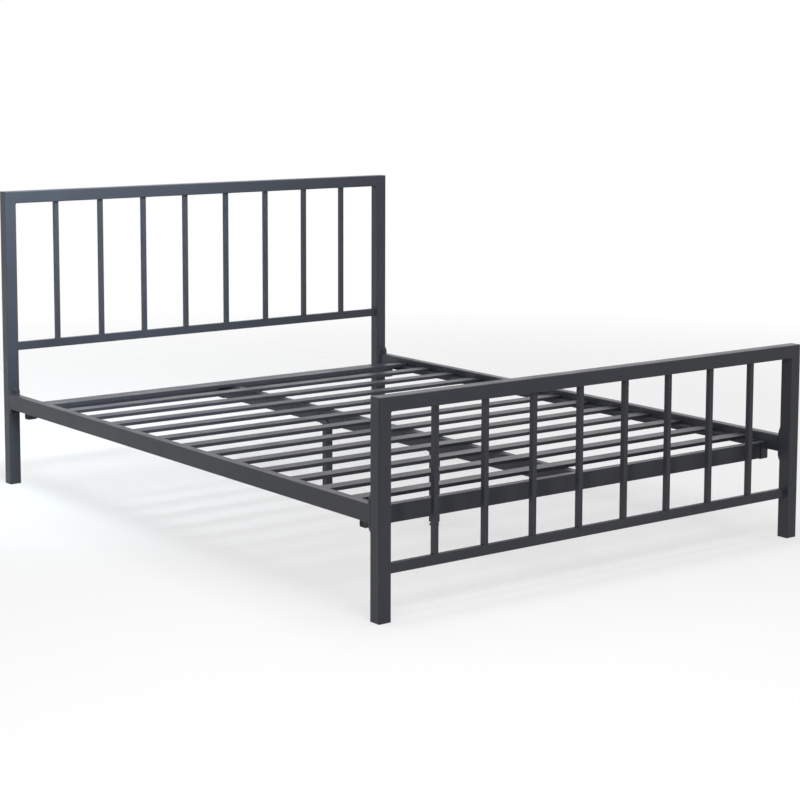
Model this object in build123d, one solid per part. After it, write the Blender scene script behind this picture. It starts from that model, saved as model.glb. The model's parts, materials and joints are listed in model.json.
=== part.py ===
"""Metal bed frame for a queen-size mattress.

A welded headboard and a welded footboard of square steel tube stand at the two ends.  Two side rails
bolt to their posts through end plates.  A crossbar lies in saddle brackets near each end, a centre beam
joins the two crossbars, and two centre legs with levelling feet carry it.  Steel slats lie across the
ledges of the side rails and the centre beam.

Frame: millimetres, +Z up, +Y towards the headboard, +X to the right as seen from the foot.
Origin: on the floor, in the middle of the frame.
"""
from build123d import *
import os

os.makedirs("parts", exist_ok=True)

# ---------------------------------------------------------------- driving dimensions (mm)
# Whole frame
overall_width = 1590.0
overall_length = 2150.0
headboard_height = 998.0
footboard_height = 596.0

# Posts and top rails: one square tube, mitred at the top corners
post_size = 40.0
post_wall = 1.6
post_corner_radius = 3.0

# Spindles: thin square tube, evenly spaced between two end gaps
spindle_count = 8
spindle_size = 15.0
spindle_wall = 1.2
spindle_end_gap = 150.0

# Lower rails of the two boards
lower_rail_height = 28.0
lower_rail_wall = 1.2
lower_rail_corner_chamfer = 1.0
footboard_lower_rail_bottom = 126.0
headboard_lower_rail_bottom = 457.0

# Side rails: rectangular tube, outer face in line with the posts
side_rail_height = 50.0
side_rail_depth = 30.0
side_rail_wall = 1.5
side_rail_corner_radius = 3.0
side_rail_middle_height = 286.0

# Plates that join the side rails to the posts
joint_plate_width = 37.0
joint_plate_height = 100.0
joint_plate_thickness = 4.0
joint_plate_clip_width = 6.0
joint_plate_clip_height = 14.0
joint_bolt_half_spacing = 38.0

# Bolts of the rail joints: M8 x 16, hexagon head
rail_bolt_diameter = 8.0
rail_bolt_length = 16.0
rail_bolt_head_width = 13.0
rail_bolt_head_height = 5.5

# Bolts of the centre legs: M6 x 12, hexagon head
leg_bolt_diameter = 6.0
leg_bolt_length = 12.0
leg_bolt_head_width = 10.0
leg_bolt_head_height = 4.0
leg_bolt_height = 14.0

bolt_hole_clearance = 0.3
thread_clearance = 0.05

# Crossbars and centre beam: the same rectangular tube, on edge, set below the rails' top edge
bar_height = 50.0
bar_depth = 25.0
bar_wall = 1.5
bar_corner_chamfer = 1.5
bar_drop = 26.0
crossbar_inset = 99.0

# Bent U brackets: saddles that the bar ends drop into, and cradles on the centre legs
bracket_wall = 2.5
bracket_bend_radius = 5.0
bracket_clearance = 0.4
bar_end_clearance = 0.8
saddle_length = 28.0
saddle_height = 45.0
cradle_length = 40.0
cradle_height = 28.0

# Ledges inside the side rails
ledge_width = 25.0
ledge_drop = 22.0
ledge_thickness = 3.0
ledge_end_gap = 12.0

# Slats: flat steel tube with plastic end plugs
slat_count = 13
slat_width = 45.0
slat_thickness = 10.0
slat_wall = 1.0
slat_end_gap = 4.0
plug_head_thickness = 2.0
plug_spigot_length = 14.0
plug_clearance = 0.2

# Centre legs
leg_size = 25.0
leg_wall = 1.5
leg_corner_chamfer = 1.0
leg_offset = 291.0

# Levelling feet of the centre legs
insert_flange_thickness = 3.0
insert_spigot_length = 20.0
insert_clearance = 0.1
stud_diameter = 8.0
stud_length = 42.0
stud_running_clearance = 0.08
stud_collar_width = 13.0
stud_collar_thickness = 2.5
pad_diameter = 30.0
pad_height = 6.0
pad_floor_thickness = 2.0
pad_clearance = 0.3
foot_retraction = 2.2

# Glides under the posts
glide_thickness = 3.0
glide_corner_chamfer = 2.0
glide_edge_inset = 1.0
glide_spigot_height = 18.0
glide_spigot_wall = 2.0
glide_clearance = 0.2

# ---------------------------------------------------------------- places that follow from them
half_width = overall_width / 2
half_length = overall_length / 2
post_x = half_width - post_size / 2
post_y = half_length - post_size / 2
lower_rail_depth = spindle_size
lower_rail_half_length = half_width - post_size
spindle_row_half_length = lower_rail_half_length - spindle_end_gap - spindle_size / 2
spindle_pitch = 2 * spindle_row_half_length / (spindle_count - 1)
side_rail_x = half_width - side_rail_depth / 2
rail_inner_x = half_width - side_rail_depth
joint_plate_x = half_width - joint_plate_width / 2
post_face_y = half_length - post_size
rail_end_y = post_face_y - 2 * joint_plate_thickness
bar_top_height = side_rail_middle_height + side_rail_height / 2 - bar_drop
bar_middle_height = bar_top_height - bar_height / 2
bar_bottom_height = bar_top_height - bar_height
crossbar_y = half_length - crossbar_inset - bar_depth / 2
crossbar_inner_y = crossbar_y - bar_depth / 2
crossbar_half_length = rail_inner_x - bar_end_clearance
beam_half_length = crossbar_inner_y - bar_end_clearance
bracket_inner_half_width = bar_depth / 2 + bracket_clearance
bracket_outer_half_width = bracket_inner_half_width + bracket_wall
slat_middle_height = bar_top_height + slat_thickness / 2
slat_half_length = rail_inner_x - slat_end_gap - plug_head_thickness
slat_pitch = 2 * crossbar_inner_y / slat_count
ledge_half_length = crossbar_y - bracket_outer_half_width - ledge_end_gap
leg_top_height = bar_bottom_height - bracket_wall
stud_bottom_height = pad_floor_thickness + pad_clearance
stud_collar_height = pad_height + pad_clearance
insert_bottom_height = stud_collar_height + stud_collar_thickness + foot_retraction
leg_bottom_height = insert_bottom_height + insert_flange_thickness

SIDES = (("left", -1), ("right", 1))
ENDS = (("foot", -1), ("head", 1))


# ---------------------------------------------------------------- shared shapes
def tube_section(width, height, wall, corner):
    """Section of a rectangular tube, rounded outside and square inside."""
    return RectangleRounded(width, height, corner) - Rectangle(width - 2 * wall, height - 2 * wall)


def thin_tube_section(width, height, wall):
    """Section of a thin rectangular tube, whose corners are nearly sharp."""
    return Rectangle(width, height) - Rectangle(width - 2 * wall, height - 2 * wall)


def chamfered_rectangle(width, height, corner):
    outline = Rectangle(width, height)
    return chamfer(outline.vertices(), corner)


def bevelled_tube_section(width, height, wall, corner):
    """Section of a rectangular tube with flat corner bevels."""
    return chamfered_rectangle(width, height, corner) - Rectangle(width - 2 * wall, height - 2 * wall)


def tube_along_x(section, half, y, z):
    return extrude(Plane.YZ * Pos(y, z) * section, half, both=True)


def tube_along_y(section, half, x, z):
    return extrude(Plane.XZ * Pos(x, z) * section, half, both=True)


def tube_along_z(section, x, y, bottom, top):
    return extrude(Pos(x, y, bottom) * section, top - bottom)


def cylinder_from(start, direction, radius, length):
    """A round bar or hole from a start point along a direction."""
    return extrude(Plane(origin=start, z_dir=direction) * Circle(radius), length)


def hexagon(width):
    """A regular hexagon, given by its width across flats."""
    return RegularPolygon(width / 2, 6, major_radius=False)


def hexagon_bolt(start, direction, diameter, length, head_width, head_height):
    """A hexagon bolt.  start is the middle of the face that it clamps; it points along direction."""
    seat = Plane(origin=start, z_dir=direction)
    shank = extrude(seat * Circle(diameter / 2), length)
    return shank + extrude(seat * hexagon(head_width), -head_height)


def save(name, shapes):
    """Write one node: a single solid, or a group of separate solids."""
    solids = []
    for shape in shapes if isinstance(shapes, list) else [shapes]:
        solids.extend(shape.solids())
    node = solids[0] if len(solids) == 1 else Compound(children=solids)
    node.label = name
    export_step(node, f"parts/{name}.step")


# ---------------------------------------------------------------- headboard and footboard
post_section = tube_section(post_size, post_size, post_wall, post_corner_radius)
spindle_section = thin_tube_section(spindle_size, spindle_size, spindle_wall)
lower_rail_section = bevelled_tube_section(
    lower_rail_depth, lower_rail_height, lower_rail_wall, lower_rail_corner_chamfer)


def mitre_plane(side, top):
    """The 45 degree plane of a top corner, facing up and towards the middle of the board."""
    return Plane(origin=(side * half_width, 0, top), z_dir=(-side, 0, 1))


def joint_bolt_heights():
    return [side_rail_middle_height + step * joint_bolt_half_spacing for step in (-1, 1)]


def post(side, end, top):
    tube = tube_along_z(post_section, side * post_x, end * post_y, glide_thickness, top)
    tube = split(tube, bisect_by=mitre_plane(side, top), keep=Keep.BOTTOM)
    for height in joint_bolt_heights():
        mouth = (side * joint_plate_x, end * post_face_y, height)
        tube -= cylinder_from(
            mouth, (0, end, 0), rail_bolt_diameter / 2 + bolt_hole_clearance, 2 * post_wall)
    return tube


def top_rail(end, top):
    tube = tube_along_x(post_section, half_width, end * post_y, top - post_size / 2)
    for _, side in SIDES:
        tube = split(tube, bisect_by=mitre_plane(side, top), keep=Keep.TOP)
    return tube


def lower_rail(end, bottom):
    middle_height = bottom + lower_rail_height / 2
    return tube_along_x(lower_rail_section, lower_rail_half_length, end * post_y, middle_height)


def spindle(index, end, bottom, top):
    x = (index - (spindle_count - 1) / 2) * spindle_pitch
    return tube_along_z(spindle_section, x, end * post_y, bottom, top)


def make_board(name, end, top, lower_rail_bottom):
    for side_name, side in SIDES:
        save(f"{name}_post_{side_name}", post(side, end, top))
    save(f"{name}_top_rail", top_rail(end, top))
    save(f"{name}_lower_rail", lower_rail(end, lower_rail_bottom))
    spindle_bottom = lower_rail_bottom + lower_rail_height
    for index in range(spindle_count):
        shape = spindle(index, end, spindle_bottom, top - post_size)
        save(f"{name}_spindle_{index + 1}", shape)


def post_glide(side, end):
    """A plastic plug in the foot of a post: a pad with a bevelled edge and a hollow spigot."""
    place = Pos(side * post_x, end * post_y, 0)
    pad = extrude(
        chamfered_rectangle(post_size, post_size, glide_corner_chamfer), glide_thickness)
    pad = chamfer(pad.faces().sort_by(Axis.Z)[0].edges(), glide_edge_inset)
    outer = post_size - 2 * post_wall - 2 * glide_clearance
    inner = outer - 2 * glide_spigot_wall
    ring = Rectangle(outer, outer) - Rectangle(inner, inner)
    spigot = extrude(Pos(0, 0, glide_thickness) * ring, glide_spigot_height)
    return place * (pad + spigot)


# ---------------------------------------------------------------- side rails and their joints
def joint_plate(side, end, inner_face_y, hole_clearance):
    """A plate with clipped corners and two bolt holes, outer edge in line with the post."""
    half = joint_plate_width / 2
    half_height = joint_plate_height / 2
    clipped_half = half - joint_plate_clip_width
    edge_half_height = half_height - joint_plate_clip_height
    outline = make_face(Polyline(
        (half, edge_half_height), (clipped_half, half_height), (-clipped_half, half_height),
        (-half, edge_half_height), (-half, -edge_half_height), (-clipped_half, -half_height),
        (clipped_half, -half_height), (half, -edge_half_height), close=True))
    for step in (-1, 1):
        hole = Circle(rail_bolt_diameter / 2 + hole_clearance)
        outline -= Pos(0, step * joint_bolt_half_spacing) * hole
    seat = Plane(
        origin=(side * joint_plate_x, end * inner_face_y, side_rail_middle_height),
        x_dir=(1, 0, 0), z_dir=(0, end, 0))
    return extrude(seat * outline, joint_plate_thickness)


def rail_end_plate(side, end):
    return joint_plate(side, end, rail_end_y, bolt_hole_clearance)


def post_plate(side, end):
    """The plate on the post; its holes are tapped and hold the bolts."""
    return joint_plate(side, end, rail_end_y + joint_plate_thickness, thread_clearance)


def rail_bolt(side, end, height):
    start = (side * joint_plate_x, end * rail_end_y, height)
    return hexagon_bolt(
        start, (0, end, 0), rail_bolt_diameter, rail_bolt_length, rail_bolt_head_width,
        rail_bolt_head_height)


def side_rail(side):
    section = tube_section(
        side_rail_depth, side_rail_height, side_rail_wall, side_rail_corner_radius)
    return tube_along_y(section, rail_end_y, side * side_rail_x, side_rail_middle_height)


def slat_ledge(side):
    """An angle welded inside the side rail; its flat leg carries the slat ends."""
    leg_x = side * (rail_inner_x - ledge_width / 2)
    flat = Pos(leg_x, bar_top_height - ledge_thickness / 2) * Rectangle(ledge_width, ledge_thickness)
    web_x = side * (rail_inner_x - ledge_thickness / 2)
    web = Pos(web_x, bar_top_height - ledge_drop / 2) * Rectangle(ledge_thickness, ledge_drop)
    return extrude(Plane.XZ * (flat + web), ledge_half_length, both=True)


# ---------------------------------------------------------------- crossbars, centre beam, saddles
bar_section = bevelled_tube_section(bar_depth, bar_height, bar_wall, bar_corner_chamfer)


def crossbar(end):
    return tube_along_x(bar_section, crossbar_half_length, end * crossbar_y, bar_middle_height)


def centre_beam():
    """The beam along the middle, with a tapped hole beside each centre leg."""
    tube = tube_along_y(bar_section, beam_half_length, 0, bar_middle_height)
    for _, end in ENDS:
        start = (bar_depth / 2, end * leg_offset, bar_bottom_height + leg_bolt_height)
        radius = leg_bolt_diameter / 2 + thread_clearance
        tube -= cylinder_from(start, (-1, 0, 0), radius, 2 * bar_wall)
    return tube


def u_bracket(seat, height, length):
    """A bent U bracket, open at the top.  seat: x across the bar, y up, z along the bar."""
    profile = Pos(0, height / 2 - bracket_wall) * Rectangle(2 * bracket_outer_half_width, height)
    profile = fillet(profile.vertices().group_by(Axis.Y)[0], bracket_bend_radius)
    gap = Pos(0, height / 2) * Rectangle(2 * bracket_inner_half_width, height)
    return extrude(seat * (profile - gap), length)


def crossbar_saddle(side, end):
    origin = (side * rail_inner_x, end * crossbar_y, bar_bottom_height)
    seat = Plane(origin=origin, x_dir=(0, -side, 0), z_dir=(-side, 0, 0))
    return u_bracket(seat, saddle_height, saddle_length)


def beam_saddle(end):
    origin = (0, end * crossbar_inner_y, bar_bottom_height)
    seat = Plane(origin=origin, x_dir=(end, 0, 0), z_dir=(0, -end, 0))
    return u_bracket(seat, saddle_height, saddle_length)


def leg_cradle(end):
    """The U bracket on top of a centre leg, with a hole for its bolt."""
    origin = (0, end * leg_offset + cradle_length / 2, bar_bottom_height)
    seat = Plane(origin=origin, x_dir=(1, 0, 0), z_dir=(0, -1, 0))
    mouth = (bracket_outer_half_width, end * leg_offset, bar_bottom_height + leg_bolt_height)
    radius = leg_bolt_diameter / 2 + bolt_hole_clearance
    hole = cylinder_from(mouth, (-1, 0, 0), radius, 2 * bracket_wall)
    return u_bracket(seat, cradle_height, cradle_length) - hole


def leg_bolt(end):
    start = (bracket_outer_half_width, end * leg_offset, bar_bottom_height + leg_bolt_height)
    return hexagon_bolt(
        start, (-1, 0, 0), leg_bolt_diameter, leg_bolt_length, leg_bolt_head_width,
        leg_bolt_head_height)


# ---------------------------------------------------------------- centre legs and levelling feet
def centre_leg(end):
    section = bevelled_tube_section(leg_size, leg_size, leg_wall, leg_corner_chamfer)
    return tube_along_z(section, 0, end * leg_offset, leg_bottom_height, leg_top_height)


def leg_insert(end):
    """A threaded plug in the leg's foot, with a flange as wide as the tube."""
    flange = extrude(
        chamfered_rectangle(leg_size, leg_size, leg_corner_chamfer), insert_flange_thickness)
    width = leg_size - 2 * leg_wall - 2 * insert_clearance
    spigot = extrude(
        Pos(0, 0, insert_flange_thickness) * Rectangle(width, width), insert_spigot_length)
    plug = flange + spigot
    bore = Circle(stud_diameter / 2 + stud_running_clearance)
    plug -= extrude(bore, insert_flange_thickness + insert_spigot_length)
    return Pos(0, end * leg_offset, insert_bottom_height) * plug


def foot_stud(end):
    """The stud of a levelling foot.  It turns in the pad's socket, and a collar takes the wrench."""
    stud = extrude(Pos(0, 0, stud_bottom_height) * Circle(stud_diameter / 2), stud_length)
    collar = extrude(
        Pos(0, 0, stud_collar_height) * hexagon(stud_collar_width), stud_collar_thickness)
    return Pos(0, end * leg_offset, 0) * (stud + collar)


def foot_pad(end):
    """The pad of a levelling foot: a disc with a socket for the stud."""
    rim = pad_diameter / 2
    socket = stud_diameter / 2 + stud_running_clearance
    profile = Polyline(
        (0, 0), (rim, 0), (rim, pad_height), (socket, pad_height),
        (socket, pad_floor_thickness), (0, pad_floor_thickness), close=True)
    pad = revolve(Plane.XZ * make_face(profile), Axis.Z)
    return Pos(0, end * leg_offset, 0) * pad


# ---------------------------------------------------------------- slats
def slat(index):
    y = (index - (slat_count - 1) / 2) * slat_pitch
    section = thin_tube_section(slat_width, slat_thickness, slat_wall)
    return tube_along_x(section, slat_half_length, y, slat_middle_height)


def slat_end_plug(index, side):
    """A plastic plug: a head as large as the tube and a spigot inside it."""
    y = (index - (slat_count - 1) / 2) * slat_pitch
    seat = Plane(
        origin=(side * slat_half_length, y, slat_middle_height),
        x_dir=(0, 1, 0), z_dir=(side, 0, 0))
    head = extrude(seat * Rectangle(slat_width, slat_thickness), plug_head_thickness)
    inset = slat_wall + plug_clearance
    spigot = extrude(
        seat * Rectangle(slat_width - 2 * inset, slat_thickness - 2 * inset), -plug_spigot_length)
    return head + spigot


# ---------------------------------------------------------------- write every node
make_board("footboard", -1, footboard_height, footboard_lower_rail_bottom)
make_board("headboard", 1, headboard_height, headboard_lower_rail_bottom)
save("post_glides", [post_glide(side, end) for _, end in ENDS for _, side in SIDES])

for side_name, side in SIDES:
    save(f"side_rail_{side_name}", side_rail(side))
    save(f"slat_ledge_{side_name}", slat_ledge(side))

corners = [(side, end) for _, end in ENDS for _, side in SIDES]
save("rail_end_plates", [rail_end_plate(side, end) for side, end in corners])
save("post_plates", [post_plate(side, end) for side, end in corners])
save("rail_bolts", [
    rail_bolt(side, end, height) for side, end in corners for height in joint_bolt_heights()])

for end_name, end in ENDS:
    save(f"crossbar_{end_name}", crossbar(end))
    save(f"centre_leg_{end_name}", centre_leg(end))
    save(f"foot_stud_{end_name}", foot_stud(end))
    save(f"foot_pad_{end_name}", foot_pad(end))

save("saddle_brackets", [crossbar_saddle(side, end) for side, end in corners]
     + [beam_saddle(end) for _, end in ENDS])
save("centre_beam", centre_beam())
save("leg_cradles", [leg_cradle(end) for _, end in ENDS])
save("leg_bolts", [leg_bolt(end) for _, end in ENDS])
save("leg_inserts", [leg_insert(end) for _, end in ENDS])

for index in range(slat_count):
    save(f"slat_{index + 1}", slat(index))
save("slat_end_plugs", [
    slat_end_plug(index, side) for index in range(slat_count) for _, side in SIDES])
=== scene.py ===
"""Studio view of the metal bed frame: materials, weld beads, bolts, feet, plugs, lights and camera.

Metres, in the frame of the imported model: +Z up, +Y towards the headboard, floor at Z = 0.
"""
import json
import math

import bmesh
import bpy
from mathutils import Matrix, Vector


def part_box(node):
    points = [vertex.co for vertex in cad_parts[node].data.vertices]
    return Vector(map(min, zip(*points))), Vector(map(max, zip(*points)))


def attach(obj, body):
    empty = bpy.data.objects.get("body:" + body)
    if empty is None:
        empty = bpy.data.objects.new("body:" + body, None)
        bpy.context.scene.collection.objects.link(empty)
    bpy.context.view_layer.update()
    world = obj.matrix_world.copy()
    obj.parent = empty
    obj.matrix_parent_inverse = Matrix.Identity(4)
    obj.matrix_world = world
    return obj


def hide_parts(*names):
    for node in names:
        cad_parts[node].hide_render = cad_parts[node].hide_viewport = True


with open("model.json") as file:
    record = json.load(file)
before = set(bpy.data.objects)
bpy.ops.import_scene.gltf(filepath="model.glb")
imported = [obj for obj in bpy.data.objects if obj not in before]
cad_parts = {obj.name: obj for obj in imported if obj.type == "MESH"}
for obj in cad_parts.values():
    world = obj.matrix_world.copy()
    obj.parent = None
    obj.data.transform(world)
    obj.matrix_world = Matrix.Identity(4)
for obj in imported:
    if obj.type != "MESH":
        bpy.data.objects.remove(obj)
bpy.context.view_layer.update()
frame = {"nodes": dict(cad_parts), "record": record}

BODY = "frame"
COAT_SLOT = "charcoal_powder_coat"
ZINC_SLOT = "zinc_steel"
OXIDE_SLOT = "black_oxide_steel"
PLASTIC_SLOT = "black_plastic"
SIDES = (-1, 1)
MM = 0.001
X_AXIS = (1, 0, 0)
Y_AXIS = (0, 1, 0)
Z_AXIS = (0, 0, 1)


# ---------------------------------------------------------------- materials
# Noise values between which a pattern fades from one side to the other
NOISE_LOW, NOISE_HIGH = 0.3, 0.7
WEAR_NOISE_LOW, WEAR_NOISE_HIGH = 0.42, 0.62
SPECK_NOISE_LOW, SPECK_NOISE_HIGH = 0.62, 0.72
SPECK_SHARE = 0.35

# Cosine between the bevelled and the flat normal: on a flat face, and on a worn edge
FLAT_COSINE, EDGE_COSINE = 0.995, 0.80
BEVEL_SAMPLES = 4

COAT_DARK = (0.0305, 0.0318, 0.0400)
COAT_LIGHT = (0.0370, 0.0385, 0.0480)
COAT_SPECK = (0.060, 0.062, 0.072)
COAT_WORN = (0.100, 0.102, 0.112)
COAT_WEAR_SHARE = 0.45
COAT_WEAR_POLISH = 0.08
COAT_SPECULAR = 0.3

ZINC_DARK = (0.40, 0.40, 0.41)
ZINC_LIGHT = (0.55, 0.55, 0.56)
ZINC_WORN = (0.68, 0.68, 0.68)

OXIDE_DARK = (0.018, 0.018, 0.019)
OXIDE_LIGHT = (0.030, 0.029, 0.029)
OXIDE_WORN = (0.14, 0.14, 0.14)
OXIDE_WEAR_SHARE = 0.6

NYLON_DARK = (0.014, 0.014, 0.015)
NYLON_LIGHT = (0.021, 0.021, 0.023)
NYLON_SCUFFED = (0.07, 0.07, 0.07)
NYLON_WEAR_SHARE = 0.5

# The floor is white where it is seen and grey where it lights the object. FLOOR_LIFT is the share
# of the seen floor that shines by itself.
FLOOR_WHITE = (0.94, 0.94, 0.94)
FLOOR_BRIGHT = (0.95, 0.95, 0.95)
FLOOR_GREY = (0.5, 0.5, 0.5)
FLOOR_LIFT = 0.5
FLOOR_ROUGHNESS = 0.9
FLOOR_SPECULAR = 0.1
FLOOR_SOLID_RADIUS = 1.0
FLOOR_CLEAR_RADIUS = 5.0
FLOOR_SIDES = 96


def new_material(name):
    material = bpy.data.materials.new(name)
    material.use_nodes = True
    tree = material.node_tree
    tree.nodes.clear()
    output = tree.nodes.new("ShaderNodeOutputMaterial")
    shader = tree.nodes.new("ShaderNodeBsdfPrincipled")
    tree.links.new(shader.outputs["BSDF"], output.inputs["Surface"])
    return material, tree, shader


def noise(tree, coordinates, scale, detail, roughness=0.5):
    node = tree.nodes.new("ShaderNodeTexNoise")
    node.inputs["Scale"].default_value = scale
    node.inputs["Detail"].default_value = detail
    node.inputs["Roughness"].default_value = roughness
    tree.links.new(coordinates, node.inputs["Vector"])
    return node.outputs["Fac"]


def patches(tree, coordinates, scale, detail, roughness=0.5, low=0.0, high=1.0):
    """Soft patches that run from low to high."""
    return remap(
        tree, noise(tree, coordinates, scale, detail, roughness), NOISE_LOW, NOISE_HIGH, low, high)


def object_coordinates(tree):
    return tree.nodes.new("ShaderNodeTexCoord").outputs["Object"]


def remap(tree, value, low, high, new_low, new_high):
    node = tree.nodes.new("ShaderNodeMapRange")
    node.inputs["From Min"].default_value = low
    node.inputs["From Max"].default_value = high
    node.inputs["To Min"].default_value = new_low
    node.inputs["To Max"].default_value = new_high
    tree.links.new(value, node.inputs["Value"])
    return node.outputs["Result"]


def math_node(tree, operation, a, b):
    node = tree.nodes.new("ShaderNodeMath")
    node.operation = operation
    for socket, value in zip(node.inputs, (a, b)):
        if isinstance(value, float):
            socket.default_value = value
        else:
            tree.links.new(value, socket)
    return node.outputs["Value"]


def mix_colour(tree, factor, a, b):
    node = tree.nodes.new("ShaderNodeMix")
    node.data_type = "RGBA"
    tree.links.new(factor, node.inputs["Factor"])
    for name, value in (("A", a), ("B", b)):
        socket = [s for s in node.inputs if s.name == name and s.type == "RGBA"][0]
        if isinstance(value, tuple):
            socket.default_value = (*value, 1.0)
        else:
            tree.links.new(value, socket)
    return [s for s in node.outputs if s.type == "RGBA"][0]


def edge_wear(tree, coordinates, radius, patch_scale):
    """The bevel's normal, and a mask that is high along edges in uneven patches."""
    bevel = tree.nodes.new("ShaderNodeBevel")
    bevel.samples = BEVEL_SAMPLES
    bevel.inputs["Radius"].default_value = radius
    geometry = tree.nodes.new("ShaderNodeNewGeometry")
    dot = tree.nodes.new("ShaderNodeVectorMath")
    dot.operation = "DOT_PRODUCT"
    tree.links.new(bevel.outputs["Normal"], dot.inputs[0])
    tree.links.new(geometry.outputs["Normal"], dot.inputs[1])
    edge = remap(tree, dot.outputs["Value"], FLAT_COSINE, EDGE_COSINE, 0.0, 1.0)
    spread = noise(tree, coordinates, patch_scale, detail=4.0, roughness=0.6)
    uneven = remap(tree, spread, WEAR_NOISE_LOW, WEAR_NOISE_HIGH, 0.0, 1.0)
    return bevel.outputs["Normal"], math_node(tree, "MULTIPLY", edge, uneven)


def bump(tree, height, distance, strength, normal):
    node = tree.nodes.new("ShaderNodeBump")
    node.inputs["Distance"].default_value = distance
    node.inputs["Strength"].default_value = strength
    tree.links.new(height, node.inputs["Height"])
    tree.links.new(normal, node.inputs["Normal"])
    return node.outputs["Normal"]


def powder_coat():
    """Satin charcoal powder coat: orange peel, faint clouds and specks, edges rubbed lighter."""
    material, tree, shader = new_material("satin_charcoal_powder_coat")
    coordinates = object_coordinates(tree)
    soft_normal, wear = edge_wear(tree, coordinates, radius=1.6 * MM, patch_scale=14.0)
    clouds = patches(tree, coordinates, scale=3.5, detail=3.0)
    coat = mix_colour(tree, clouds, COAT_DARK, COAT_LIGHT)
    dust = noise(tree, coordinates, scale=900.0, detail=2.0)
    specks = remap(tree, dust, SPECK_NOISE_LOW, SPECK_NOISE_HIGH, 0.0, SPECK_SHARE)
    coat = mix_colour(tree, specks, coat, COAT_SPECK)
    coat = mix_colour(tree, math_node(tree, "MULTIPLY", wear, COAT_WEAR_SHARE), coat, COAT_WORN)
    tree.links.new(coat, shader.inputs["Base Color"])
    smudges = patches(
        tree, coordinates, scale=9.0, detail=4.0, roughness=0.6, low=0.28, high=0.42)
    polish = math_node(tree, "MULTIPLY", wear, COAT_WEAR_POLISH)
    rough = math_node(tree, "SUBTRACT", smudges, polish)
    tree.links.new(rough, shader.inputs["Roughness"])
    shader.inputs["Specular IOR Level"].default_value = COAT_SPECULAR
    peel = noise(tree, coordinates, scale=420.0, detail=2.0)
    grain = noise(tree, coordinates, scale=1600.0, detail=1.0)
    normal = bump(tree, peel, distance=0.09 * MM, strength=0.6, normal=soft_normal)
    normal = bump(tree, grain, distance=0.02 * MM, strength=0.5, normal=normal)
    tree.links.new(normal, shader.inputs["Normal"])
    return material


def zinc_plate():
    """Zinc-plated steel with a dull, mottled finish, brighter along its edges."""
    material, tree, shader = new_material("zinc_plated_steel")
    coordinates = object_coordinates(tree)
    soft_normal, wear = edge_wear(tree, coordinates, radius=0.4 * MM, patch_scale=90.0)
    mottle = patches(tree, coordinates, scale=260.0, detail=4.0, roughness=0.6)
    colour = mix_colour(tree, mottle, ZINC_DARK, ZINC_LIGHT)
    colour = mix_colour(tree, wear, colour, ZINC_WORN)
    tree.links.new(colour, shader.inputs["Base Color"])
    shader.inputs["Metallic"].default_value = 1.0
    rough = patches(tree, coordinates, scale=700.0, detail=3.0, low=0.30, high=0.46)
    tree.links.new(rough, shader.inputs["Roughness"])
    grain = noise(tree, coordinates, scale=2500.0, detail=2.0)
    normal = bump(tree, grain, distance=0.01 * MM, strength=0.5, normal=soft_normal)
    tree.links.new(normal, shader.inputs["Normal"])
    return material


def black_oxide():
    """Blackened steel of the rail bolts, mottled, and rubbed lighter along its edges."""
    material, tree, shader = new_material("black_oxide_steel")
    coordinates = object_coordinates(tree)
    soft_normal, wear = edge_wear(tree, coordinates, radius=0.5 * MM, patch_scale=110.0)
    mottle = patches(tree, coordinates, scale=300.0, detail=4.0, roughness=0.6)
    colour = mix_colour(tree, mottle, OXIDE_DARK, OXIDE_LIGHT)
    share = math_node(tree, "MULTIPLY", wear, OXIDE_WEAR_SHARE)
    colour = mix_colour(tree, share, colour, OXIDE_WORN)
    tree.links.new(colour, shader.inputs["Base Color"])
    rough = patches(tree, coordinates, scale=500.0, detail=3.0, low=0.34, high=0.50)
    tree.links.new(rough, shader.inputs["Roughness"])
    grain = noise(tree, coordinates, scale=2200.0, detail=2.0)
    normal = bump(tree, grain, distance=0.012 * MM, strength=0.5, normal=soft_normal)
    tree.links.new(normal, shader.inputs["Normal"])
    return material


def black_nylon():
    """Moulded black nylon: fine spark-eroded grain, scuffed grey along its edges."""
    material, tree, shader = new_material("moulded_black_nylon")
    coordinates = object_coordinates(tree)
    soft_normal, wear = edge_wear(tree, coordinates, radius=0.8 * MM, patch_scale=60.0)
    tone = patches(tree, coordinates, scale=40.0, detail=3.0)
    colour = mix_colour(tree, tone, NYLON_DARK, NYLON_LIGHT)
    share = math_node(tree, "MULTIPLY", wear, NYLON_WEAR_SHARE)
    colour = mix_colour(tree, share, colour, NYLON_SCUFFED)
    tree.links.new(colour, shader.inputs["Base Color"])
    rough = patches(tree, coordinates, scale=120.0, detail=3.0, low=0.48, high=0.62)
    tree.links.new(rough, shader.inputs["Roughness"])
    grain = noise(tree, coordinates, scale=1800.0, detail=2.0)
    normal = bump(tree, grain, distance=0.03 * MM, strength=0.6, normal=soft_normal)
    tree.links.new(normal, shader.inputs["Normal"])
    return material


def seen_directly(tree):
    """One for what is seen straight, mirrored or through glass, and zero for light on surfaces."""
    path = tree.nodes.new("ShaderNodeLightPath")
    seen = math_node(tree, "MAXIMUM", path.outputs["Is Camera Ray"], path.outputs["Is Glossy Ray"])
    return math_node(tree, "MAXIMUM", seen, path.outputs["Is Transmission Ray"])


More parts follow.
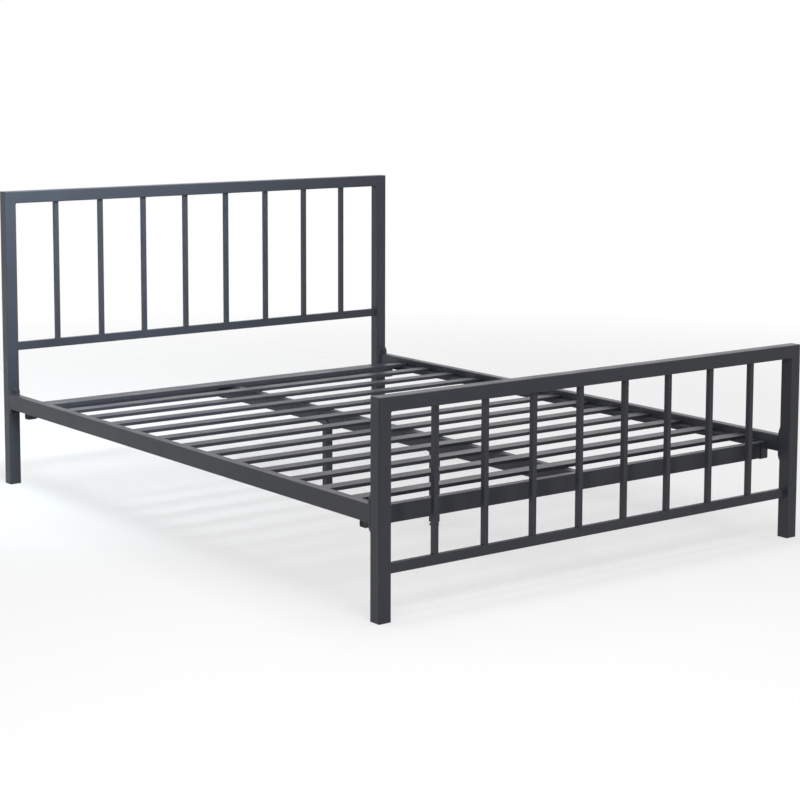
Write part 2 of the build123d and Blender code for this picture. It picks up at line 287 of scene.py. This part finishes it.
def studio_floor():
    """A white floor that keeps shadows near the object and fades into the white round it."""
    material, tree, shader = new_material("studio_floor")
    shader.inputs["Roughness"].default_value = FLOOR_ROUGHNESS
    shader.inputs["Specular IOR Level"].default_value = FLOOR_SPECULAR
    coordinates = object_coordinates(tree)
    seen = seen_directly(tree)
    tint = patches(tree, coordinates, scale=6.0, detail=3.0)
    white = mix_colour(tree, tint, FLOOR_WHITE, FLOOR_BRIGHT)
    colour = mix_colour(tree, seen, FLOOR_GREY, white)
    tree.links.new(colour, shader.inputs["Base Color"])
    glow = tree.nodes.new("ShaderNodeEmission")
    lifted = tree.nodes.new("ShaderNodeMixShader")
    tree.links.new(math_node(tree, "MULTIPLY", seen, FLOOR_LIFT), lifted.inputs["Fac"])
    tree.links.new(shader.outputs["BSDF"], lifted.inputs[1])
    tree.links.new(glow.outputs["Emission"], lifted.inputs[2])
    length = tree.nodes.new("ShaderNodeVectorMath")
    length.operation = "LENGTH"
    tree.links.new(coordinates, length.inputs[0])
    fade = remap(tree, length.outputs["Value"], FLOOR_SOLID_RADIUS, FLOOR_CLEAR_RADIUS, 0.0, 1.0)
    clear = tree.nodes.new("ShaderNodeBsdfTransparent")
    blend = tree.nodes.new("ShaderNodeMixShader")
    tree.links.new(fade, blend.inputs["Fac"])
    tree.links.new(lifted.outputs["Shader"], blend.inputs[1])
    tree.links.new(clear.outputs["BSDF"], blend.inputs[2])
    output = [n for n in tree.nodes if n.type == "OUTPUT_MATERIAL"][0]
    tree.links.new(blend.outputs["Shader"], output.inputs["Surface"])
    return material


materials = {
    COAT_SLOT: powder_coat(), ZINC_SLOT: zinc_plate(), OXIDE_SLOT: black_oxide(),
    PLASTIC_SLOT: black_nylon()}


def dress_cad_nodes():
    """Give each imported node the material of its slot."""
    slot_of = {part["node"]: part["material_slot"] for part in frame["record"]["subparts"]}
    for name, node in frame["nodes"].items():
        for place in node.material_slots:
            place.material = materials[slot_of[name]]


# ---------------------------------------------------------------- mesh helpers
def add_piece(name, mesh_data, slot, body=BODY):
    """A smooth-shaded piece in the material of a slot, which rides on a body."""
    mesh = bpy.data.meshes.new(name)
    mesh_data.normal_update()
    mesh_data.to_mesh(mesh)
    mesh_data.free()
    for face in mesh.polygons:
        face.use_smooth = True
    mesh.materials.append(materials[slot])
    piece = bpy.data.objects.new(name, mesh)
    bpy.context.scene.collection.objects.link(piece)
    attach(piece, body)
    return piece


BEAD_SIDES = 8
BEAD_MIN_STEPS = 6
BEAD_PHASE_STEP = 1.7
RIPPLE_LENGTH = 2.2 * MM
RIPPLE_STEPS = 4
RIPPLE_MEAN = 0.90
RIPPLE_SWING = 0.10
TAPER_START = 0.35
TAPER_LENGTH = 1.5    # in radii of the bead


def add_bead(mesh_data, start, end, radius, phase=0.0):
    """A weld bead between two points: a round rope of ripples with closed, tapered ends."""
    start = Vector(start)
    end = Vector(end)
    along = (end - start).normalized()
    length = (end - start).length
    side = along.orthogonal().normalized()
    across = along.cross(side)
    steps = max(BEAD_MIN_STEPS, round(length / RIPPLE_LENGTH) * RIPPLE_STEPS)
    rings = []
    for step in range(steps + 1):
        distance = length * step / steps
        wave = math.cos(2 * math.pi * distance / RIPPLE_LENGTH + phase)
        ripple = RIPPLE_MEAN + RIPPLE_SWING * wave
        to_end = min(distance, length - distance)
        taper = min(1.0, TAPER_START + to_end / (TAPER_LENGTH * radius))
        size = radius * ripple * taper
        middle = start + along * distance
        ring = []
        for index in range(BEAD_SIDES):
            angle = 2 * math.pi * index / BEAD_SIDES
            ring.append(mesh_data.verts.new(
                middle + size * (math.cos(angle) * side + math.sin(angle) * across)))
        rings.append(ring)
    for one, two in zip(rings, rings[1:]):
        for index in range(BEAD_SIDES):
            after = (index + 1) % BEAD_SIDES
            mesh_data.faces.new((one[index], one[after], two[after], two[index]))
    mesh_data.faces.new(list(reversed(rings[0])))
    mesh_data.faces.new(rings[-1])


def add_bead_frame(mesh_data, centre, half_a, half_b, axis_a, axis_b, radius, flush_side=0):
    """Beads round a rectangular tube where it meets a face.

    A side that lies flush with what it meets has none: flush_side is 1 or -1 along the first axis.
    """
    centre = Vector(centre)
    a = Vector(axis_a) * half_a
    b = Vector(axis_b) * half_b
    corners = [centre - a - b, centre + a - b, centre + a + b, centre - a + b]
    flush_edge = {0: None, 1: 1, -1: 3}[flush_side]
    for index, corner in enumerate(corners):
        if index != flush_edge:
            after = corners[(index + 1) % len(corners)]
            add_bead(mesh_data, corner, after, radius, phase=BEAD_PHASE_STEP * index)


def middle_and_half(node):
    """The middle of a node's box, and half of its size."""
    low, high = (Vector(corner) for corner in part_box(node))
    return (low + high) / 2, (high - low) / 2


# ---------------------------------------------------------------- weld beads
SPINDLE_BEAD = 1.3 * MM
RAIL_BEAD = 1.9 * MM
CORNER_BEAD = 3.2 * MM
PLATE_BEAD = 1.6 * MM
CORNER_BEAD_INSET = 1.0 * MM
SPINDLES = range(1, 9)
PLATE_WIDTH = 37 * MM
PLATE_CORNER = 14 * MM
STITCH_LENGTH = 30 * MM
STITCH_PITCH = 230 * MM


def board_welds(board):
    """Beads of a board: spindle ends, lower rail ends and the inside of the top corners."""
    beads = bmesh.new()
    for number in SPINDLES:
        middle, half = middle_and_half(f"{board}_spindle_{number}")
        for end in SIDES:
            foot = middle + Vector((0, 0, end * half.z))
            add_bead_frame(beads, foot, half.x, half.y, X_AXIS, Y_AXIS, SPINDLE_BEAD)
    middle, half = middle_and_half(f"{board}_lower_rail")
    for side in SIDES:
        foot = middle + Vector((side * half.x, 0, 0))
        add_bead_frame(beads, foot, half.y, half.z, Y_AXIS, Z_AXIS, RAIL_BEAD)
    top_middle, top_half = middle_and_half(f"{board}_top_rail")
    inset = top_half.z * 2    # the posts are as wide as the top rail is high
    for side in SIDES:
        x = top_middle.x + side * (top_half.x - inset)
        z = top_middle.z - top_half.z
        reach = top_half.y - CORNER_BEAD_INSET
        add_bead(beads, (x, top_middle.y - reach, z), (x, top_middle.y + reach, z), CORNER_BEAD)
    add_piece(f"{board}_welds", beads, COAT_SLOT)


def rail_welds():
    """Beads where the side rails meet their end plates, and the post plates meet the posts."""
    beads = bmesh.new()
    plate_low, plate_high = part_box("post_plates")
    for name in ("left", "right"):
        middle, half = middle_and_half(f"side_rail_{name}")
        side = -1 if middle.x < 0 else 1
        for end in SIDES:
            foot = middle + Vector((0, end * half.y, 0))
            add_bead_frame(beads, foot, half.x, half.z, X_AXIS, Z_AXIS, RAIL_BEAD, side)
            x = side * (plate_high[0] - PLATE_WIDTH)
            y = end * plate_high[1]
            low = (x, y, plate_low[2] + PLATE_CORNER)
            high = (x, y, plate_high[2] - PLATE_CORNER)
            add_bead(beads, low, high, PLATE_BEAD)
    add_piece("side_rail_welds", beads, COAT_SLOT)


def bracket_welds():
    """Beads of the saddles on the rails and crossbars, and of the legs on their cradles."""
    beads = bmesh.new()
    _, saddle_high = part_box("saddle_brackets")
    rail_x = saddle_high[0]
    rail_low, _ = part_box("side_rail_right")
    bar_low, bar_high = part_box("crossbar_head")
    bar_y = (bar_low[1] + bar_high[1]) / 2
    outer = saddle_high[1] - bar_y
    for end in SIDES:
        for side in SIDES:
            for wall in SIDES:
                x = side * rail_x
                y = end * bar_y + wall * outer
                add_bead(beads, (x, y, rail_low[2]), (x, y, saddle_high[2]), PLATE_BEAD)
        y = end * bar_low[1]
        for wall in SIDES:
            x = wall * outer
            add_bead(beads, (x, y, bar_low[2]), (x, y, saddle_high[2]), PLATE_BEAD)
    for name in ("foot", "head"):
        middle, half = middle_and_half(f"centre_leg_{name}")
        top = middle + Vector((0, 0, half.z))
        add_bead_frame(beads, top, half.x, half.y, X_AXIS, Y_AXIS, PLATE_BEAD)
    add_piece("bracket_welds", beads, COAT_SLOT)


def ledge_welds():
    """Stitch welds along the lower edge of each slat ledge, against its side rail."""
    beads = bmesh.new()
    for name in ("left", "right"):
        low, high = (Vector(corner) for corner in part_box(f"slat_ledge_{name}"))
        x = low.x if low.x < 0 else high.x
        count = int((high.y - low.y - STITCH_LENGTH) / STITCH_PITCH) + 1
        first = (low.y + high.y) / 2 - STITCH_PITCH * (count - 1) / 2
        for index in range(count):
            y = first + STITCH_PITCH * index
            add_bead(
                beads, (x, y - STITCH_LENGTH / 2, low.z), (x, y + STITCH_LENGTH / 2, low.z),
                PLATE_BEAD, phase=index)
    add_piece("ledge_welds", beads, COAT_SLOT)


# ---------------------------------------------------------------- bolts, studs, pads and plugs
ROUND_STEPS = 48
SHARP_ANGLE = math.radians(25)
MERGE_DISTANCE = 0.001 * MM
SORT_DIGITS = 4

# Hexagon heads: the turned face as a share of the width, and the 30 degree chamfer of its corners
TURNED_SHARE = 0.95
HEAD_CHAMFER = math.pi / 6
WASHER_FACE = 0.3 * MM

BOLT_TIP_LENGTH = 1.0 * MM
BOLT_TIP_CHAMFER = 0.7 * MM
RAIL_BOLT_RADIUS = 4 * MM
RAIL_BOLT_HEAD = 5.5 * MM
LEG_BOLT_RADIUS = 3 * MM
LEG_BOLT_HEAD = 4 * MM

# Thread: the flank rises with this slope, and the shift sets how wide root and crest are
THREAD_PITCH = 1.25 * MM
THREAD_DEPTH = 0.70 * MM
THREAD_FLANK_SLOPE = 2.5
THREAD_ROOT_SHIFT = 0.125
RINGS_PER_PITCH = 8

STUD_RADIUS = 4 * MM
COLLAR_GAP = 0.3 * MM
COLLAR_THICKNESS = 2.5 * MM
TIP_CHAMFER = 0.8 * MM

PAD_EDGE = 1.0 * MM
PAD_RECESS = 0.6 * MM
PAD_RECESS_INNER = 2.4 * MM
PAD_RECESS_OUTER = 2.0 * MM
PAD_SOCKET = 4.08 * MM
PAD_SOCKET_CHAMFER = 0.5 * MM
PAD_FLOOR = 2 * MM
EDGE_STEPS = 5

PLUG_WALL = 1.6 * MM
PLUG_DEPTH = 12 * MM
PLUG_INSET = 0.3 * MM
PLUG_RIM = 3.0 * MM
PLUG_DISH = 1.2 * MM
PLUG_DISH_SLOPE = 0.6 * MM
PLUG_CHAMFER = 0.5 * MM


def add_hard_piece(name, mesh_data, slot, body, node=None):
    """A piece with crisp edges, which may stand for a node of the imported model."""
    piece = add_piece(name, mesh_data, slot, body)
    piece.data.set_sharp_from_angle(angle=SHARP_ANGLE)
    if node is not None:
        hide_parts(node)


def solids_of(node):
    """The lowest and highest corner of each separate solid of a node."""
    data = bmesh.new()
    data.from_mesh(frame["nodes"][node].data)
    bmesh.ops.remove_doubles(data, verts=data.verts, dist=MERGE_DISTANCE)
    left = set(data.verts)
    boxes = []
    while left:
        group = [left.pop()]
        for vertex in group:
            for edge in vertex.link_edges:
                other = edge.other_vert(vertex)
                if other in left:
                    left.remove(other)
                    group.append(other)
        places = [vertex.co for vertex in group]
        low = Vector([min(place[axis] for place in places) for axis in range(3)])
        high = Vector([max(place[axis] for place in places) for axis in range(3)])
        boxes.append((low, high))
    data.free()
    return sorted(boxes, key=lambda box: tuple(round(value, SORT_DIGITS) for value in box[0]))


def skin(mesh_data, origin, along, across, rings):
    """A closed skin over rings round an axis.

    A ring is a function that gives radius and distance along the axis for an angle from across.
    """
    origin = Vector(origin)
    along = Vector(along)
    across = Vector(across)
    third = along.cross(across)
    made = []
    for ring in rings:
        verts = []
        for index in range(ROUND_STEPS):
            angle = 2 * math.pi * index / ROUND_STEPS
            radius, distance = ring(angle)
            spoke = math.cos(angle) * across + math.sin(angle) * third
            verts.append(mesh_data.verts.new(origin + radius * spoke + distance * along))
        made.append(verts)
    for one, two in zip(made, made[1:]):
        for index in range(ROUND_STEPS):
            after = (index + 1) % ROUND_STEPS
            mesh_data.faces.new((one[index], one[after], two[after], two[index]))
    mesh_data.faces.new(list(reversed(made[0])))
    mesh_data.faces.new(made[-1])


def round_ring(radius, distance):
    """A ring with one radius, square to the axis."""
    return lambda angle: (radius, distance)


def hexagon_radius(width, angle):
    """Distance from the middle of a hexagon to its side, at an angle from a corner."""
    return width / 2 / math.cos(angle % (math.pi / 3) - math.pi / 6)


def hexagon_rings(width, start, end, chamfered_end=True):
    """Rings of a hexagon, its corners chamfered at the start and, if wanted, at the end."""
    turned = TURNED_SHARE * width / 2
    slope = math.tan(HEAD_CHAMFER)

    def side(distance, inward):
        return lambda angle: (
            hexagon_radius(width, angle),
            distance + inward * slope * (hexagon_radius(width, angle) - turned))

    return [
        round_ring(turned, start), side(start, 1),
        side(end, -1 if chamfered_end else 0), round_ring(turned, end)]


def thread_rings(radius, start, end):
    """Rings of a right-handed thread, which runs out at both ends."""
    def thread(distance):
        room = min(distance - start, end - distance) / THREAD_PITCH
        depth = THREAD_DEPTH * min(1.0, max(0.0, room))

        def ring(angle):
            phase = (distance / THREAD_PITCH - angle / (2 * math.pi)) % 1.0
            rise = THREAD_FLANK_SLOPE * abs(phase - 0.5) - THREAD_ROOT_SHIFT
            flank = min(1.0, max(0.0, rise))
            return radius - depth * (1.0 - flank), distance

        return ring

    count = round((end - start) / THREAD_PITCH * RINGS_PER_PITCH)
    return [thread(start + (end - start) * index / count) for index in range(count + 1)]


def add_bolt(mesh_data, low, high, head_axis, head_side, shank_radius, head_height):
    """A hexagon bolt in the box of its solid; its head lies at one end of the given axis."""
    middle = (low + high) / 2
    size = high - low
    others = [axis for axis in range(3) if axis != head_axis]
    corner_axis = max(others, key=lambda axis: size[axis])
    width = min(size[axis] for axis in others)
    top = middle.copy()
    top[head_axis] = high[head_axis] if head_side > 0 else low[head_axis]
    along = Vector([0, 0, 0])
    along[head_axis] = -head_side
    across = Vector([0, 0, 0])
    across[corner_axis] = 1
    tip = size[head_axis]
    washer = TURNED_SHARE * width / 2
    rings = hexagon_rings(width, 0.0, head_height - WASHER_FACE, chamfered_end=False)
    rings += [
        round_ring(washer, head_height), round_ring(shank_radius, head_height),
        round_ring(shank_radius, tip - BOLT_TIP_LENGTH),
        round_ring(shank_radius - BOLT_TIP_CHAMFER, tip)]
    skin(mesh_data, top, along, across, rings)


def bolts():
    """Hexagon bolts of the side rails, heads towards the middle, and of the centre legs."""
    data = bmesh.new()
    for low, high in solids_of("rail_bolts"):
        side = -1 if low.y + high.y > 0 else 1
        add_bolt(data, low, high, 1, side, RAIL_BOLT_RADIUS, RAIL_BOLT_HEAD)
    add_hard_piece("rail_hexagon_bolts", data, OXIDE_SLOT, BODY, "rail_bolts")
    data = bmesh.new()
    for low, high in solids_of("leg_bolts"):
        add_bolt(data, low, high, 0, 1, LEG_BOLT_RADIUS, LEG_BOLT_HEAD)
    add_hard_piece("leg_hexagon_bolts", data, ZINC_SLOT, BODY, "leg_bolts")


def levelling_foot(end):
    """The threaded stud and the moulded pad of one levelling foot, each on its own body."""
    stud_low, stud_high = (Vector(corner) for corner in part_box(f"foot_stud_{end}"))
    pad_low, pad_high = (Vector(corner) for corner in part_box(f"foot_pad_{end}"))
    middle = (stud_low + stud_high) / 2
    size = stud_high - stud_low
    wide_x = size.x > size.y
    width = min(size.x, size.y)
    foot = Vector((middle.x, middle.y, 0))
    collar = pad_high.z + COLLAR_GAP
    data = bmesh.new()
    rings = [
        round_ring(STUD_RADIUS - TIP_CHAMFER, stud_low.z),
        round_ring(STUD_RADIUS, stud_low.z + TIP_CHAMFER), round_ring(STUD_RADIUS, collar)]
    rings += hexagon_rings(width, collar, collar + COLLAR_THICKNESS)
    rings += thread_rings(STUD_RADIUS, collar + COLLAR_THICKNESS, stud_high.z - TIP_CHAMFER)
    rings.append(round_ring(STUD_RADIUS - TIP_CHAMFER, stud_high.z))
    skin(data, foot, Z_AXIS, X_AXIS if wide_x else Y_AXIS, rings)
    body = f"foot_stud_{end}"
    add_hard_piece(f"threaded_stud_{end}", data, ZINC_SLOT, body, body)

    rim = (pad_high.x - pad_low.x) / 2
    top = pad_high.z
    data = bmesh.new()
    rings = [
        round_ring(rim - PAD_RECESS_INNER, PAD_RECESS), round_ring(rim - PAD_RECESS_OUTER, 0.0)]
    rings += rounded_corner(rim, 0.0, PAD_EDGE, 1)
    rings += rounded_corner(rim, top, PAD_EDGE, -1)
    rings += [
        round_ring(PAD_SOCKET + PAD_SOCKET_CHAMFER, top),
        round_ring(PAD_SOCKET, top - PAD_SOCKET_CHAMFER), round_ring(PAD_SOCKET, PAD_FLOOR)]
    skin(data, foot, Z_AXIS, X_AXIS, rings)
    body = f"foot_pad_{end}"
    add_hard_piece(f"moulded_pad_{end}", data, PLASTIC_SLOT, body, body)


def rounded_corner(rim, height, radius, up):
    """Rings of a rounded rim edge, from the flat to the side (up 1) or back (up -1)."""
    rings = []
    for step in range(EDGE_STEPS + 1):
        turn = math.pi / 2 * step / EDGE_STEPS
        if up < 0:
            turn = math.pi / 2 - turn
        rings.append(round_ring(
            rim - radius + radius * math.sin(turn), height + up * radius * (1 - math.cos(turn))))
    return rings


def crossbar_plugs():
    """Moulded plugs that close the tube ends of the crossbars, dished inside a raised rim."""
    data = bmesh.new()
    for name in ("foot", "head"):
        middle, half = middle_and_half(f"crossbar_{name}")
        for side in SIDES:
            face = side * (half.x - PLUG_INSET)
            dish = face - side * PLUG_DISH
            layers = [
                (dish, 2 * PLUG_RIM), (dish, PLUG_RIM + PLUG_DISH_SLOPE), (face, PLUG_RIM),
                (face, PLUG_CHAMFER), (face - side * PLUG_CHAMFER, 0.0),
                (face - side * PLUG_DEPTH, 0.0)]
            rings = []
            for x, inset in layers:
                y = half.y - PLUG_WALL - inset
                z = half.z - PLUG_WALL - inset
                corners = [(-y, -z), (y, -z), (y, z), (-y, z)]
                rings.append([
                    data.verts.new((x, middle.y + dy, middle.z + dz)) for dy, dz in corners])
            for one, two in zip(rings, rings[1:]):
                for index in range(4):
                    after = (index + 1) % 4
                    quad = (one[index], two[index], two[after], one[after])
                    data.faces.new(quad if side > 0 else tuple(reversed(quad)))
            front = rings[0] if side > 0 else list(reversed(rings[0]))
            back = list(reversed(rings[-1])) if side > 0 else rings[-1]
            data.faces.new(front)
            data.faces.new(back)
    add_hard_piece("crossbar_end_plugs", data, PLASTIC_SLOT, BODY)


# ---------------------------------------------------------------- lights, floor, camera
PHOTOGRAPHER_SIDE = (-0.6143, -0.7891, 0.0)
DARK_SIDE = 0.15
DARK_CORE_COSINE, DARK_RIM_COSINE = 0.8, 0.3
AMBIENT_STRENGTH = 0.2
FULL_SPREAD = 180.0

CAMERA_PLACE = (-3.8312, -5.1798, 1.4903)
CAMERA_YAW = 0.66149
CAMERA_PITCH = -0.11709
CAMERA_ROLL = 0.00458
CAMERA_SENSOR = 36.0
CAMERA_LENS = 91.097
CAMERA_SHIFT = (-0.03623, -0.14482)


def add_area_light(name, place, target, width, height, power, colour, spread=FULL_SPREAD):
    """A soft rectangular lamp; power in watts, spread in degrees."""
    data = bpy.data.lights.new(name, "AREA")
    data.shape = "RECTANGLE"
    data.size = width
    data.size_y = height
    data.energy = power
    data.color = colour
    data.spread = math.radians(spread)
    lamp = bpy.data.objects.new(name, data)
    lamp.location = place
    lamp.rotation_euler = (Vector(target) - Vector(place)).to_track_quat("-Z", "Y").to_euler()
    bpy.context.scene.collection.objects.link(lamp)


def add_world():
    """White behind the object and in its reflections, and a dimmer even light on its surfaces.

    Reflections are darker on the photographer's side, which draws the rounded edges of the tubes.
    """
    world = bpy.data.worlds.new("studio")
    bpy.context.scene.world = world
    world.use_nodes = True
    tree = world.node_tree
    tree.nodes.clear()
    facing = tree.nodes.new("ShaderNodeVectorMath")
    facing.operation = "DOT_PRODUCT"
    tree.links.new(tree.nodes.new("ShaderNodeTexCoord").outputs["Generated"], facing.inputs[0])
    facing.inputs[1].default_value = PHOTOGRAPHER_SIDE
    white = remap(
        tree, facing.outputs["Value"], DARK_CORE_COSINE, DARK_RIM_COSINE, DARK_SIDE, 1.0)
    path = tree.nodes.new("ShaderNodeLightPath")
    white = math_node(tree, "MAXIMUM", white, path.outputs["Is Camera Ray"])
    seen = math_node(tree, "MULTIPLY", seen_directly(tree), white)
    strength = math_node(tree, "MAXIMUM", seen, AMBIENT_STRENGTH)
    background = tree.nodes.new("ShaderNodeBackground")
    background.inputs["Color"].default_value = (1.0, 1.0, 1.0, 1.0)
    tree.links.new(strength, background.inputs["Strength"])
    output = tree.nodes.new("ShaderNodeOutputWorld")
    tree.links.new(background.outputs["Background"], output.inputs["Surface"])


def add_floor():
    """A round floor at Z = 0, under the feet."""
    data = bmesh.new()
    bmesh.ops.create_circle(data, cap_ends=True, segments=FLOOR_SIDES, radius=FLOOR_CLEAR_RADIUS)
    mesh = bpy.data.meshes.new("studio_floor")
    data.to_mesh(mesh)
    data.free()
    mesh.materials.append(studio_floor())
    floor = bpy.data.objects.new("studio_floor", mesh)
    bpy.context.scene.collection.objects.link(floor)


def add_camera():
    """A long lens at eye height, off the footboard's left corner."""
    forward = Vector((
        math.sin(CAMERA_YAW) * math.cos(CAMERA_PITCH),
        math.cos(CAMERA_YAW) * math.cos(CAMERA_PITCH),
        math.sin(CAMERA_PITCH)))
    level = Vector((math.cos(CAMERA_YAW), -math.sin(CAMERA_YAW), 0))
    upright = level.cross(forward)
    right = math.cos(CAMERA_ROLL) * level + math.sin(CAMERA_ROLL) * upright
    up = math.cos(CAMERA_ROLL) * upright - math.sin(CAMERA_ROLL) * level
    data = bpy.data.cameras.new("camera")
    data.sensor_width = CAMERA_SENSOR
    data.lens = CAMERA_LENS
    data.shift_x, data.shift_y = CAMERA_SHIFT
    camera = bpy.data.objects.new("camera", data)
    turn = Matrix((right, up, -forward)).transposed().to_4x4()
    camera.matrix_world = Matrix.Translation(CAMERA_PLACE) @ turn
    bpy.context.scene.collection.objects.link(camera)
    bpy.context.scene.camera = camera


# ---------------------------------------------------------------- put it together
add_camera()
dress_cad_nodes()
board_welds("headboard")
board_welds("footboard")
rail_welds()
bracket_welds()
ledge_welds()
bolts()
levelling_foot("foot")
levelling_foot("head")
crossbar_plugs()

add_floor()
add_world()
add_area_light(
    "overhead", place=(0.0, 0.0, 4.2), target=(0, 0, 0.3), width=4.5, height=4.5, power=118.0,
    colour=(1.0, 0.995, 0.985))
add_area_light(
    "left_window", place=(-3.0, -2.6, 1.9), target=(-0.6, -0.9, 0.5), width=2.0, height=1.4,
    power=19.0, colour=(0.94, 0.97, 1.0))
add_area_light(
    "head_fill", place=(-1.3, -2.0, 2.6), target=(-0.75, 1.05, 1.3), width=1.4, height=1.0,
    power=38.0, colour=(0.72, 0.90, 1.0), spread=52.0)
add_area_light(
    "front_key", place=(-1.5, -3.4, 2.7), target=(-0.2, 0, 0.7), width=2.4, height=1.8,
    power=62.0, colour=(0.94, 0.96, 1.0))
bpy.context.scene.view_settings.view_transform = "Standard"
